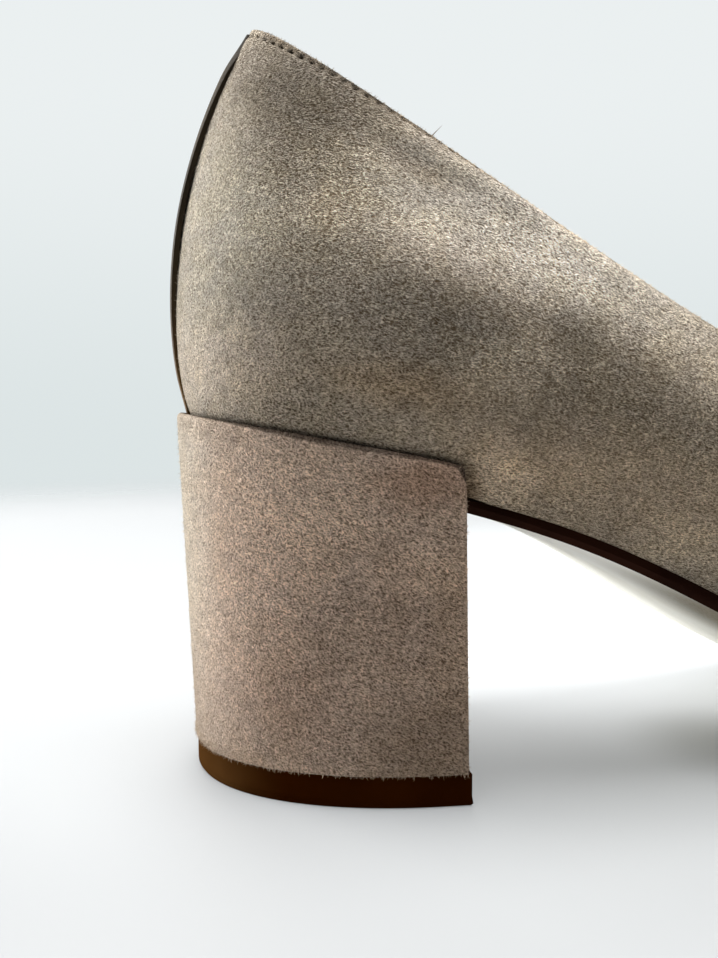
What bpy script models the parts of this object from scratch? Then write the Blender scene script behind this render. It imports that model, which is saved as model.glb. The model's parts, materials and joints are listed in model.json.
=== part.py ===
"""Left shoe of a pair of suede court shoes on a covered block heel.

The shoe stands empty on its heel and forefoot. Metres, +X towards the toe,
+Y towards the outer side of the foot, +Z up, floor at Z = 0.

The last is drawn as ribs. Each rib is a cubic curve that starts on the feather
line, where upper and sole meet, bulges out, leans in and ends on the top line.
The tables below hold one row for each rib, from the back of the heel to the
toe tip. Sole, insole and heel are worked out from the same ribs.
"""

import math
from collections import namedtuple

import bmesh
import bpy
import numpy as np

# Driving sizes
LENGTH = 0.240  # back of the heel at the floor to the toe tip
BALL_WIDTH = 0.080  # nominal width across the ball
SEAT_HEIGHT = 0.049  # feather line above the floor at the back
BACK_HEIGHT = 0.060  # feather line to top line at the back

# Upper
WALL = 0.0016  # suede, stiffener and lining together
LASTING_MARGIN = 0.006  # upper turned in under the insole
ROLL_RADIUS = 0.003  # turned edge of the top line
GAP = 0.0003  # clearance between neighbouring pieces

# Back strip
STRIP_TOP_WIDTH = 0.0078
STRIP_FOOT_WIDTH = 0.0056
STRIP_THICKNESS = 0.0005

# Sole and insole
SOLE_THICKNESS = 0.0032  # at the ball
SOLE_BREAST_SHARE = 0.5  # thickness at the heel breast as a share of that at the ball
SOLE_MARGIN = 0.0008  # sole edge beyond the feather line at the ball
EDGE_ROUNDING = 0.0005
INSOLE_THICKNESS = 0.0020
INSOLE_INSET = 0.0028  # insole edge inside the feather line

# Heel
TOP_PIECE_HEIGHT = 0.0045
TOP_PIECE_EASING = 0.0004  # lower edge
HEEL_FLOOR_LENGTH = 0.036
HEEL_FLOOR_HALF_WIDTH = 0.0250
HEEL_RIM_OVERHANG = 0.0026  # rim behind the heel's lower back edge
HEEL_RIM_HALF_WIDTH = 0.0266
HEEL_BREAST_LEAN = 0.0011  # rim behind the heel's lower front edge
HEEL_RIM_HEIGHT = 0.0532  # at the back
HEEL_RIM_FALL = 0.185  # drop of the rim for each length forward
HEEL_CORNER = 0.0026  # rounding of the rim at the breast
HEEL_LIP = 0.0009  # thickness of the rim's edge
CUP_CLEARANCE = 0.0005  # upper to the inside of the heel's cup
OUTLINE_POWER = 2.2  # roundness of the heel's outline, 2 for an ellipse

# Fineness of the faceted solids
RIB_STEPS = 4  # ribs for each table row
WALL_ROWS = 13  # faces up each rib
END_CROWDING = 0.09  # how much closer those faces lie near both ends
WALL_SAMPLES = 40  # points worked out along a rib below its turned edge
ROLL_SAMPLES = 8  # points worked out around the turned edge
SIDE_SAMPLES = 240  # points worked out along each side of the feather line
CROSS_STEPS = 6  # faces across sole, insole and heel seat
STRIP_COLUMNS = 6
STRIP_ROWS = 14
HEEL_LEVELS = 5
CUP_DROPS = (0.0, 0.35, 0.7, 1.0)  # rows down the heel's cup, from rim to feather line
BREAST_ROUNDING = (0.96, 0.985)  # extra heel sections where the rim is rounded off
NEAR = 0.02  # step, in table rows, for measuring a curve's direction

# Feather line: place as a share of LENGTH, distances from the heel's long axis as
# shares of BALL_WIDTH, height and the outer side's lower level as shares of
# SEAT_HEIGHT. Crown is the downward curvature of the bottom, for each metre.
Feather = namedtuple("Feather", "place medial lateral height fall crown")
FEATHER = [
    Feather(0.006, 0.000, 0.000, 1.000, 0.000, 2.0),  # back
    Feather(0.024, 0.166, 0.166, 0.982, 0.000, 2.0),  # back quarter
    Feather(0.077, 0.274, 0.274, 0.930, 0.004, 1.4),  # seat
    Feather(0.150, 0.300, 0.304, 0.852, 0.006, 0.6),  # breast
    Feather(0.233, 0.290, 0.325, 0.722, 0.010, 1.0),  # shank
    Feather(0.333, 0.272, 0.362, 0.490, 0.040, 2.2),  # waist
    Feather(0.433, 0.330, 0.438, 0.262, 0.065, 2.2),  # arch
    Feather(0.525, 0.432, 0.494, 0.130, 0.044, 1.4),  # behind the ball
    Feather(0.625, 0.494, 0.478, 0.082, 0.006, 0.7),  # ball
    Feather(0.733, 0.484, 0.398, 0.080, 0.000, 0.7),  # toe joints
    Feather(0.850, 0.410, 0.252, 0.118, 0.000, 0.7),  # toes
    Feather(0.956, 0.268, 0.092, 0.184, 0.000, 0.7),  # toe side
    Feather(1.000, 0.088, -0.088, 0.216, 0.000, 0.7),  # toe tip
]

# Top line: place and distances as above, rise over the feather line as a share
# of BACK_HEIGHT.
Top = namedtuple("Top", "place medial lateral rise")
TOP = [
    Top(0.037, 0.000, 0.000, 1.000),
    Top(0.054, 0.102, 0.102, 0.952),
    Top(0.094, 0.190, 0.190, 0.862),
    Top(0.154, 0.222, 0.222, 0.764),
    Top(0.233, 0.241, 0.241, 0.668),
    Top(0.325, 0.256, 0.250, 0.640),
    Top(0.425, 0.275, 0.256, 0.653),
    Top(0.525, 0.270, 0.231, 0.660),
    Top(0.608, 0.236, 0.158, 0.664),
    Top(0.654, 0.176, 0.100, 0.668),
    Top(0.674, 0.122, 0.046, 0.648),
    Top(0.682, 0.076, 0.000, 0.606),
    Top(0.684, 0.038, -0.038, 0.580),
]

# Shape of each rib: how far out and up its lower control point lies, the slope
# and length of its last stretch, and how far the top line is turned in. Lengths
# in millimetres, angles in degrees.
Section = namedtuple("Section", "bulge tuck lean reach roll")
SECTION = [
    Section(7.4, 8.0, 58.0, 24.0, 4.0),
    Section(6.8, 8.0, 60.0, 23.0, 8.0),
    Section(5.4, 9.0, 67.0, 19.0, 25.0),
    Section(4.6, 9.0, 72.0, 16.0, 50.0),
    Section(5.2, 9.0, 72.0, 14.0, 62.0),
    Section(6.0, 9.0, 70.0, 13.0, 62.0),
    Section(5.0, 10.0, 62.0, 13.0, 54.0),
    Section(4.0, 12.0, 46.0, 13.0, 38.0),
    Section(3.0, 13.0, 33.0, 14.0, 25.0),
    Section(2.5, 14.0, 25.0, 19.0, 16.0),
    Section(2.2, 15.0, 20.0, 27.0, 12.0),
    Section(2.0, 16.0, 18.0, 35.0, 10.0),
    Section(2.0, 17.0, 17.0, 40.0, 10.0),
]

MILLIMETRE = 0.001
TOE = len(FEATHER) - 1  # row of the toe tip
AROUND = 2 * TOE  # rows around the shoe, inner side first
BREAST = 3  # row of the heel breast


def around(inner, outer):
    """Rows of both sides as one closed run: back, inner side, toe tip, outer side."""
    inner = np.array(inner, float)
    outer = np.array(outer, float)
    return np.vstack([inner, outer[TOE - 1:0:-1]])


def periodic_spline(knots, values):
    """Smooth closed curve through the values; the last knot closes the loop."""
    count = len(values)
    spans = np.diff(knots)
    system = np.zeros((count, count))
    slopes = np.zeros_like(values)
    for i in range(count):
        before = spans[i - 1]
        after = spans[i]
        following = (i + 1) % count
        system[i, i - 1] += before
        system[i, i] += 2.0 * (before + after)
        system[i, following] += after
        rise_after = (values[following] - values[i]) / after
        rise_before = (values[i] - values[i - 1]) / before
        slopes[i] = 6.0 * (rise_after - rise_before)
    bends = np.linalg.solve(system, slopes)

    def at(row):
        row = np.mod(np.asarray(row, float), count)
        i = np.floor(row).astype(int)
        following = (i + 1) % count
        span = spans[i][:, None]
        b = (row - i)[:, None]
        a = 1.0 - b
        bend = (a ** 3 - a) * bends[i] + (b ** 3 - b) * bends[following]
        return a * values[i] + b * values[following] + bend * span ** 2 / 6.0

    return at


def feather_rows(side):
    rows = []
    for row in FEATHER:
        if side < 0:
            y = -row.medial * BALL_WIDTH
            z = row.height * SEAT_HEIGHT
        else:
            y = row.lateral * BALL_WIDTH
            z = (row.height - row.fall) * SEAT_HEIGHT
        rows.append((row.place * LENGTH, y, z))
    return np.array(rows)


def top_rows(side):
    feather = feather_rows(side)
    rows = []
    for row, foot in zip(TOP, feather):
        y = -row.medial if side < 0 else row.lateral
        z = foot[2] + row.rise * BACK_HEIGHT
        rows.append((row.place * LENGTH, y * BALL_WIDTH, z))
    return np.array(rows)


FEATHER_POINTS = around(feather_rows(-1), feather_rows(1))
TOP_POINTS = around(top_rows(-1), top_rows(1))
SECTION_ROWS = around(SECTION, SECTION)
STEPS = np.linalg.norm(np.roll(FEATHER_POINTS, -1, axis=0) - FEATHER_POINTS, axis=1)
KNOTS = np.concatenate([[0.0], np.cumsum(STEPS)])
feather_at = periodic_spline(KNOTS, FEATHER_POINTS)
top_at = periodic_spline(KNOTS, TOP_POINTS)
section_at = periodic_spline(KNOTS, SECTION_ROWS)


def outward(curve, row):
    """Level direction pointing away from the middle of a closed curve."""
    row = np.asarray(row, float)
    run = curve(row + NEAR) - curve(row - NEAR)
    normal = np.stack([run[:, 1], -run[:, 0], np.zeros(len(row))], axis=1)
    return normal / np.linalg.norm(normal, axis=1)[:, None]


def ribs(row):
    """Outer face of the upper: points up each of the given ribs."""
    row = np.asarray(row, float)
    foot = feather_at(row)
    top = top_at(row)
    bulge, tuck, lean, reach, roll = section_at(row).T[:, :, None]
    out = outward(feather_at, row)
    inward = -outward(top_at, row)
    up = np.array([[0.0, 0.0, 1.0]])
    start = np.radians(lean)
    end = np.radians(np.maximum(lean - roll, 2.0))

    def turned(angle):
        along = ROLL_RADIUS * (np.sin(start) - np.sin(angle))
        above = ROLL_RADIUS * (np.cos(angle) - np.cos(start))
        return along * inward + above * up

    shoulder = top - turned(end)
    low = foot + MILLIMETRE * (bulge * out + tuck * up)
    high = shoulder - MILLIMETRE * reach * (np.cos(start) * inward + np.sin(start) * up)
    points = []
    for t in np.linspace(0.0, 1.0, WALL_SAMPLES):
        s = 1.0 - t
        points.append(s ** 3 * foot + 3 * s * s * t * low + 3 * s * t * t * high + t ** 3 * shoulder)
    for share in np.linspace(0.0, 1.0, ROLL_SAMPLES + 1)[1:]:
        points.append(shoulder + turned(start + share * (end - start)))
    return np.stack(points, axis=1)


def spaced(rib, shares):
    """Points along a rib at the given shares of its length."""
    steps = np.linalg.norm(np.diff(rib, axis=0), axis=1)
    length = np.concatenate([[0.0], np.cumsum(steps)])
    return np.stack([np.interp(shares * length[-1], length, rib[:, i]) for i in range(3)], axis=1)


def wall_shares(count):
    """Shares from 0 to 1, closer together near both ends."""
    even = np.linspace(0.0, 1.0, count + 1)
    return even - END_CROWDING * np.sin(2.0 * math.pi * even)


def side_table(first, last):
    """Dense feather points of one side, ordered along the shoe."""
    return feather_at(np.linspace(first, last, SIDE_SAMPLES))


INNER_SIDE = side_table(0, TOE)
OUTER_SIDE = side_table(AROUND, TOE)
CROWN_PLACES = np.array([row.place for row in FEATHER]) * LENGTH
CROWNS = np.array([row.crown for row in FEATHER])


def bottom_height(x, y):
    """Underside of the lasted upper, domed between the two feather lines."""
    inner_y = np.interp(x, INNER_SIDE[:, 0], INNER_SIDE[:, 1])
    inner_z = np.interp(x, INNER_SIDE[:, 0], INNER_SIDE[:, 2])
    outer_y = np.interp(x, OUTER_SIDE[:, 0], OUTER_SIDE[:, 1])
    outer_z = np.interp(x, OUTER_SIDE[:, 0], OUTER_SIDE[:, 2])
    width = np.maximum(outer_y - inner_y, MILLIMETRE)
    share = np.clip((y - inner_y) / width, 0.0, 1.0)
    crown = np.interp(x, CROWN_PLACES, CROWNS) * width ** 2
    return inner_z + share * (outer_z - inner_z) - crown * share * (1.0 - share)


def dropped(points, lift):
    """The same plan points, set on the bottom of the last and then raised."""
    points = np.array(points)
    points[:, 2] = bottom_height(points[:, 0], points[:, 1]) + lift
    return points


def plain_material(name, colour, roughness, metallic=0.0):
    material = bpy.data.materials.new(name)
    material.use_nodes = True
    shader = material.node_tree.nodes["Principled BSDF"]
    shader.inputs["Base Color"].default_value = (*colour, 1.0)
    shader.inputs["Roughness"].default_value = roughness
    shader.inputs["Metallic"].default_value = metallic
    material.diffuse_color = (*colour, 1.0)
    return material


def mesh_object(name, points, faces, material):
    """Object from points and faces, with doubled points merged and faces turned out."""
    mesh = bpy.data.meshes.new(name)
    mesh.from_pydata([tuple(p) for p in points], [], faces)
    work = bmesh.new()
    work.from_mesh(mesh)
    bmesh.ops.remove_doubles(work, verts=work.verts, dist=1e-6)
    bmesh.ops.recalc_face_normals(work, faces=work.faces)
    work.to_mesh(mesh)
    work.free()
    mesh.shade_smooth()
    mesh.materials.append(material)
    made = bpy.data.objects.new(name, mesh)
    bpy.context.scene.collection.objects.link(made)
    return made


def sheet(grid, closed):
    """Points and faces of a grid; a closed one joins its last run to its first."""
    runs, rows = grid.shape[:2]
    faces = []
    for i in range(runs if closed else runs - 1):
        following = (i + 1) % runs
        for j in range(rows - 1):
            faces.append((i * rows + j, following * rows + j, following * rows + j + 1, i * rows + j + 1))
    return grid.reshape(-1, 3), faces


def skinned(loops, capped):
    """Skin over closed loops; each end is capped, or has been drawn together."""
    loops = np.array(loops)
    runs, count = loops.shape[:2]
    faces = []
    for i in range(runs - 1):
        for j in range(count):
            k = (j + 1) % count
            faces.append((i * count + j, i * count + k, (i + 1) * count + k, (i + 1) * count + j))
    if capped[0]:
        faces.append(tuple(range(count)))
    if capped[1]:
        faces.append(tuple((runs - 1) * count + j for j in range(count)))
    return loops.reshape(-1, 3), faces


def thicken(shape, thickness, offset):
    shell = shape.modifiers.new("wall", "SOLIDIFY")
    shell.thickness = thickness
    shell.offset = offset
    shell.use_even_offset = True
    shell.use_quality_normals = True


def make_upper(material):
    """Suede wall around the last, with the margin that is turned in underneath."""
    rows = np.arange(AROUND * RIB_STEPS) / RIB_STEPS
    walls = np.stack([spaced(rib, wall_shares(WALL_ROWS)) for rib in ribs(rows)])
    foot = feather_at(rows)
    margin = dropped(foot - LASTING_MARGIN * outward(feather_at, rows), 0.0)
    grid = np.concatenate([margin[:, None, :], walls], axis=1)
    points, faces = sheet(grid, closed=True)
    upper = mesh_object("upper", points, faces, material)
    face_outward(upper)
    thicken(upper, WALL, -1.0)
    return upper


def face_outward(shape):
    """Turn an open sheet so that its faces look away from the inside of the shoe."""
    work = bmesh.new()
    work.from_mesh(shape.data)
    work.faces.ensure_lookup_table()
    lowest = min(work.faces, key=lambda face: face.calc_center_median().x)
    if lowest.normal.x > 0.0:
        bmesh.ops.reverse_faces(work, faces=work.faces)
    work.to_mesh(shape.data)
    work.free()


def make_back_strip(material):
    """Leather strip over the back seam, cut from the upper's own ribs."""
    beside_seam = np.linspace(-1.5, 1.5, 61)
    along = np.linspace(0.0, 1.0, 121)
    walls = np.stack([spaced(rib, along) for rib in ribs(beside_seam)])
    seam = walls[len(beside_seam) // 2]
    start = np.interp(HEEL_RIM_HEIGHT + 3 * GAP, seam[:, 2], along)
    grid = []
    for share in np.linspace(0.0, 1.0, STRIP_ROWS + 1):
        level = (start + share * (1.0 - start)) * (len(along) - 1)
        below = min(int(level), len(along) - 2)
        line = walls[:, below] + (level - below) * (walls[:, below + 1] - walls[:, below])
        line = line[np.argsort(line[:, 1])]
        half = 0.5 * (STRIP_FOOT_WIDTH + share * (STRIP_TOP_WIDTH - STRIP_FOOT_WIDTH))
        across = np.linspace(half, -half, STRIP_COLUMNS + 1)
        grid.append(np.stack([np.interp(across, line[:, 1], line[:, i]) for i in range(3)], axis=1))
    points, faces = sheet(np.stack(grid), closed=False)
    strip = mesh_object("back_strip", points, faces, material)
    face_outward(strip)
    lift = strip.modifiers.new("clearance", "DISPLACE")
    lift.mid_level = 0.0
    lift.strength = GAP
    thicken(strip, STRIP_THICKNESS, 1.0)
    return strip


def side_pair(row):
    """The same row on the inner and on the outer side."""
    return np.array([row, AROUND - row], float)


def make_outsole(material):
    """Leather sole: domed waist, flat tread under the ball, sprung toe."""
    loops = []
    for row in np.arange(BREAST * RIB_STEPS, TOE * RIB_STEPS + 1) / RIB_STEPS:
        forward = min((row - BREAST) / (TOE - BREAST) * 2.0, 1.0)
        thickness = SOLE_THICKNESS * (SOLE_BREAST_SHARE + (1.0 - SOLE_BREAST_SHARE) * forward)
        pair = side_pair(row)
        out = outward(feather_at, pair)
        edge = feather_at(pair) + SOLE_MARGIN * forward * out
        if row == BREAST:
            edge[:, 0] = breast_place(edge[:, 2] / HEEL_RIM_HEIGHT) + GAP
            out[:, 0] = 0.0
        inset = edge - EDGE_ROUNDING * out
        across = np.linspace(0.0, 1.0, CROSS_STEPS + 1)[:, None]
        upper_face = dropped(inset[0] + across * (inset[1] - inset[0]), -GAP)
        lower_face = upper_face.copy()
        lower_face[:, 2] = np.maximum(upper_face[:, 2] - thickness, 0.0)
        sides = edge.copy()
        sides[0, 2] = 0.5 * (upper_face[0, 2] + lower_face[0, 2])
        sides[1, 2] = 0.5 * (upper_face[-1, 2] + lower_face[-1, 2])
        loops.append(np.vstack([upper_face, sides[1:], lower_face[::-1], sides[:1]]))
    points, faces = skinned(loops, capped=(True, False))
    return mesh_object("outsole", points, faces, material)


def make_insole(material):
    """Footbed over the turned-in margin of the upper."""
    loops = []
    for row in np.arange(0, TOE * RIB_STEPS + 1) / RIB_STEPS:
        pair = side_pair(row)
        edge = feather_at(pair) - INSOLE_INSET * outward(feather_at, pair)
        across = np.linspace(0.0, 1.0, CROSS_STEPS + 1)[:, None]
        line = edge[0] + across * (edge[1] - edge[0])
        lower_face = dropped(line, WALL + 2 * GAP)
        upper_face = dropped(line, WALL + 2 * GAP + INSOLE_THICKNESS)
        loops.append(np.vstack([lower_face, upper_face[::-1]]))
    points, faces = skinned(loops, capped=(False, False))
    return mesh_object("insole", points, faces, material)


def breast_place(level):
    """Front face of the heel: level 0 is the floor and level 1 the rim."""
    return HEEL_FLOOR_LENGTH - HEEL_BREAST_LEAN * level


def heel_outline(share, level):
    """Place and half width of the heel's outline at a share from back to breast."""
    angle = share * math.pi / 2
    back = -HEEL_RIM_OVERHANG * level
    half = HEEL_FLOOR_HALF_WIDTH + level * (HEEL_RIM_HALF_WIDTH - HEEL_FLOOR_HALF_WIDTH)
    length = breast_place(level) - back
    x = back + length * (1.0 - math.cos(angle) ** (2.0 / OUTLINE_POWER))
    y = half * math.sin(angle) ** (2.0 / OUTLINE_POWER)
    return x, y


def rim_height(x):
    """Rim of the heel: falls forward and is rounded off at the breast."""
    height = HEEL_RIM_HEIGHT - HEEL_RIM_FALL * (x + HEEL_RIM_OVERHANG)
    past = x - (breast_place(1.0) - HEEL_CORNER)
    if past > 0.0:
        height -= HEEL_CORNER - math.sqrt(max(HEEL_CORNER ** 2 - past ** 2, 0.0))
    return height


def heel_section(share):
    """Closed outline of the heel across the shoe, from back (0) to breast (1)."""
    floor = TOP_PIECE_HEIGHT + GAP
    rim_x, rim_y = heel_outline(share, 1.0)
    rim = rim_height(rim_x)
    sides = []
    for side, row in zip((-1.0, 1.0), side_pair(BREAST * share)):
        rib = ribs([row])[0]
        foot = rib[0]
        out = outward(feather_at, [row])[0]
        wall = []
        for height in np.linspace(floor, rim - HEEL_LIP / 2, HEEL_LEVELS + 1):
            x, y = heel_outline(share, height / HEEL_RIM_HEIGHT)
            wall.append((x, side * y, height))
        lip = np.array([rim_x, side * rim_y, rim]) - HEEL_LIP / 2 * out
        cup = []
        for drop in CUP_DROPS:
            height = rim + drop * (foot[2] - rim)
            point = np.array([np.interp(height, rib[:, 2], rib[:, i]) for i in range(3)])
            cup.append(point + CUP_CLEARANCE * out)
        cup[-1][2] -= CUP_CLEARANCE
        chain = np.vstack([wall, [lip], cup])
        if share == 1.0:
            chain[:, 0] = breast_place(chain[:, 2] / HEEL_RIM_HEIGHT)
        sides.append(chain)
    inner, outer = sides
    across = np.linspace(0.0, 1.0, CROSS_STEPS + 1)[1:-1, None]
    seat = dropped(inner[-1] + across * (outer[-1] - inner[-1]), -CUP_CLEARANCE)
    return np.vstack([inner, seat, outer[::-1]])


def make_heel_block(material):
    """Covered block with a cup that takes the seat of the upper."""
    steps = np.linspace(0.0, 1.0, BREAST * RIB_STEPS + 1)
    shares = sorted([*steps, *BREAST_ROUNDING])
    loops = [heel_section(share) for share in shares]
    points, faces = skinned(loops, capped=(False, True))
    return mesh_object("heel_block", points, faces, material)


def make_top_piece(material):
    """Rubber piece under the heel, with its lower edge eased."""
    steps = np.linspace(0.0, 1.0, BREAST * RIB_STEPS + 1)
    outer = np.array([heel_outline(share, 0.0) for share in steps])
    ring = np.vstack([outer[::-1] * (1.0, -1.0), outer[1:]])
    centre = np.array([HEEL_FLOOR_LENGTH / 2, 0.0])
    shrink = 1.0 - TOP_PIECE_EASING / HEEL_FLOOR_HALF_WIDTH
    loops = []
    for height, size in ((0.0, shrink), (TOP_PIECE_EASING, 1.0), (TOP_PIECE_HEIGHT, 1.0)):
        plan = centre + (ring - centre) * size
        loops.append(np.column_stack([plan, np.full(len(plan), height)]))
    points, faces = skinned(loops, capped=(True, True))
    return mesh_object("top_piece", points, faces, material)


def middle_of(shapes):
    """Middle of the box around the finished pieces, seen from above."""
    bpy.context.view_layer.update()
    graph = bpy.context.evaluated_depsgraph_get()
    corners = []
    for shape in shapes:
        mesh = shape.evaluated_get(graph).to_mesh()
        corners.extend(tuple(vertex.co) for vertex in mesh.vertices)
    corners = np.array(corners)
    return 0.5 * (corners.min(axis=0) + corners.max(axis=0))


def main():
    for item in list(bpy.data.objects):
        bpy.data.objects.remove(item, do_unlink=True)
    suede = plain_material("taupe_suede", (0.27, 0.215, 0.165), 0.95)
    heel_suede = plain_material("heel_suede", (0.28, 0.215, 0.165), 0.95)
    strip_leather = plain_material("brown_strip_leather", (0.035, 0.016, 0.009), 0.45)
    sole_leather = plain_material("sole_leather", (0.42, 0.30, 0.20), 0.35)
    footbed = plain_material("footbed_leather", (0.50, 0.38, 0.27), 0.55)
    rubber = plain_material("brown_rubber", (0.020, 0.006, 0.002), 0.38)
    shoe = bpy.data.objects.new("shoe", None)
    bpy.context.scene.collection.objects.link(shoe)
    pieces = [
        make_upper(suede),
        make_back_strip(strip_leather),
        make_insole(footbed),
        make_outsole(sole_leather),
        make_heel_block(heel_suede),
        make_top_piece(rubber),
    ]
    middle = middle_of(pieces)
    shoe.location = (-middle[0], -middle[1], 0.0)
    for piece in pieces:
        piece.parent = shoe


main()
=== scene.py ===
import json
import math
import bpy
import numpy as np
from mathutils import Matrix, Vector
from mathutils.bvhtree import BVHTree

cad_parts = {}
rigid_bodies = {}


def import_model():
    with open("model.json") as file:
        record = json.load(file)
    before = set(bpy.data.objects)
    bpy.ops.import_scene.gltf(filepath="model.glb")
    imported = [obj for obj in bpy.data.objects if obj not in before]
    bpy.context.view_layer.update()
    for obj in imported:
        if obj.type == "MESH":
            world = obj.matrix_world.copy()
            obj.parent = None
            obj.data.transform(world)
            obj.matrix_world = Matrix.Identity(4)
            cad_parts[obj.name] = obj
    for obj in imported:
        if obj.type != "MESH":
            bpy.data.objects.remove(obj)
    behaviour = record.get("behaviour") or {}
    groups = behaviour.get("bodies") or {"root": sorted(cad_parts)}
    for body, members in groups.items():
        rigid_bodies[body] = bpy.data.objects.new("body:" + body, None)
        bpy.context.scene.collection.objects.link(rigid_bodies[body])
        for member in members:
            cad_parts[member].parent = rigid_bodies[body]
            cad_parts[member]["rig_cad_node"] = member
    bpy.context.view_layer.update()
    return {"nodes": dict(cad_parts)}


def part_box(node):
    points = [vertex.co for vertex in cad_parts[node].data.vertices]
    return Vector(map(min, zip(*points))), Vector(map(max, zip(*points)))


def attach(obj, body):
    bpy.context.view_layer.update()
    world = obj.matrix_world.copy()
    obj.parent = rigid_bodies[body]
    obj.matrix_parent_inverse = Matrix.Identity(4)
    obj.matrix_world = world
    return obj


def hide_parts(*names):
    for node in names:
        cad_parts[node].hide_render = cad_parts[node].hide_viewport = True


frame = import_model()
print("frame loaded:", sorted(frame["nodes"]))

# Lengths below are millimetres from the heel's lower back edge, on its long axis, above the floor
mm = 0.001
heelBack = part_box("top_piece")[0].x
heelAxis = 0.5 * (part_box("top_piece")[0].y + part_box("top_piece")[1].y)


def spot(x, y, z):
    return Vector((heelBack + x * mm, heelAxis + y * mm, z * mm))


# Selecting and copying

def setMode(mode):
    bpy.ops.object.mode_set(mode=mode)


def selectAll(action):
    bpy.ops.mesh.select_all(action=action)


def deselectAll():
    if bpy.context.mode != "OBJECT":
        setMode("OBJECT")
    bpy.ops.object.select_all(action="DESELECT")


def takeUp(piece):
    deselectAll()
    piece.select_set(True)
    bpy.context.view_layer.objects.active = piece


def editFaces(piece):  # into edit mode with no face selected
    takeUp(piece)
    setMode("EDIT")
    bpy.ops.mesh.select_mode(type="FACE")
    selectAll("DESELECT")


def pickFaces(piece, wanted):
    editFaces(piece)
    setMode("OBJECT")
    for face in piece.data.polygons:
        face.select = wanted(face.center, face.normal)
    setMode("EDIT")


def pickSharpEdges(piece, degrees):
    takeUp(piece)
    setMode("EDIT")
    bpy.ops.mesh.select_mode(type="EDGE")
    selectAll("DESELECT")
    bpy.ops.mesh.edges_select_sharp(sharpness=math.radians(degrees))


def copyNode(node, name):
    takeUp(frame["nodes"][node])
    bpy.ops.object.duplicate()
    piece = bpy.context.active_object
    piece.name = name
    piece.data.name = name
    del piece["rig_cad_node"]
    piece.data.materials.clear()
    bpy.ops.mesh.customdata_custom_splitnormals_clear()
    setMode("EDIT")
    selectAll("SELECT")
    bpy.ops.mesh.remove_doubles(threshold=1e-6)
    bpy.ops.mesh.tris_convert_to_quads(face_threshold=1.5, shape_threshold=1.5, topology_influence=1.0)
    bpy.ops.mesh.mark_sharp(clear=True)
    setMode("OBJECT")
    return piece


def keepRegions(piece, degrees, seeds):
    # sharp edges part the wall into regions, and only those under the seeds stay
    pickSharpEdges(piece, degrees)
    bpy.ops.mesh.mark_sharp()
    editFaces(piece)
    setMode("OBJECT")
    for seed in seeds:
        nearest = min(piece.data.polygons, key=lambda face: (face.center - seed).length)
        nearest.select = True
    setMode("EDIT")
    bpy.ops.mesh.select_linked(delimit={"SHARP"})
    selectAll("INVERT")
    bpy.ops.mesh.delete(type="FACE")
    selectAll("SELECT")
    bpy.ops.mesh.mark_sharp(clear=True)
    setMode("OBJECT")


def creaseSharp(piece, degrees, crease):
    pickSharpEdges(piece, degrees)
    bpy.ops.transform.edge_crease(value=crease)
    setMode("OBJECT")


def applyModifier(piece, kind, **settings):
    takeUp(piece)
    made = piece.modifiers.new("step", kind)
    for name, value in settings.items():
        setattr(made, name, value)
    bpy.ops.object.modifier_apply(modifier=made.name)


def roundOff(piece, levels):
    applyModifier(piece, "SUBSURF", levels=levels, render_levels=levels)


def thicken(piece, thickness):
    applyModifier(piece, "SOLIDIFY", thickness=thickness * mm, offset=-1.0, use_even_offset=True,
                  use_quality_normals=True)


def bevelSharp(piece, width, degrees, segments):
    applyModifier(piece, "BEVEL", width=width, segments=segments, limit_method="ANGLE",
                  angle_limit=math.radians(degrees), use_clamp_overlap=True)


def shadeSmooth(piece, degrees):
    takeUp(piece)
    bpy.ops.object.shade_smooth_by_angle(angle=math.radians(degrees))


def readVectors(items, label):
    flat = np.zeros(len(items) * 3)
    items.foreach_get(label, flat)
    return flat.reshape(-1, 3)


def places(piece):
    return readVectors(piece.data.vertices, "co")


def setPlaces(piece, points):
    piece.data.vertices.foreach_set("co", points.astype(np.float32).ravel())
    piece.data.update()


def vertexNormals(piece):
    return readVectors(piece.data.vertex_normals, "vector")


def wearPiece(piece, slot, *nodes):
    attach(piece, "root")
    if nodes:
        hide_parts(*nodes)
    print(piece.name, "has", len(piece.data.polygons), "faces")


# Shader helpers

def feed(tree, socket, value):
    if isinstance(value, bpy.types.NodeSocket):
        tree.links.new(value, socket)
    else:
        socket.default_value = value


def addNode(tree, kind, inputs=None, **settings):
    made = tree.nodes.new(kind)
    made.location = (190 * len(tree.nodes), 0)
    for name, value in settings.items():
        setattr(made, name, value)
    for name, value in (inputs or {}).items():
        feed(tree, made.inputs[name], value)
    return made


def mixColour(tree, factor, first, second, blend="MIX"):
    inputs = {0: factor, 6: first, 7: second}
    return addNode(tree, "ShaderNodeMix", inputs, data_type="RGBA", blend_type=blend).outputs[2]


def mixValue(tree, factor, first, second):
    return addNode(tree, "ShaderNodeMix", {0: factor, 2: first, 3: second}, data_type="FLOAT").outputs[0]


def maths(tree, operation, first, second=0.0):
    return addNode(tree, "ShaderNodeMath", {0: first, 1: second}, operation=operation).outputs[0]


def ramp(tree, value, low, high, toLow=0.0, toHigh=1.0, shape="SMOOTHSTEP"):
    inputs = {"Value": value, "From Min": low, "From Max": high, "To Min": toLow, "To Max": toHigh}
    return addNode(tree, "ShaderNodeMapRange", inputs, interpolation_type=shape).outputs["Result"]


def vectorMaths(tree, operation, inputs):
    return addNode(tree, "ShaderNodeVectorMath", inputs, operation=operation).outputs


def noise(tree, coords, scale, detail=2.0, roughness=0.5, output="Fac"):
    values = {"Vector": coords, "Scale": scale, "Detail": detail, "Roughness": roughness}
    return addNode(tree, "ShaderNodeTexNoise", values).outputs[output]


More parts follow.
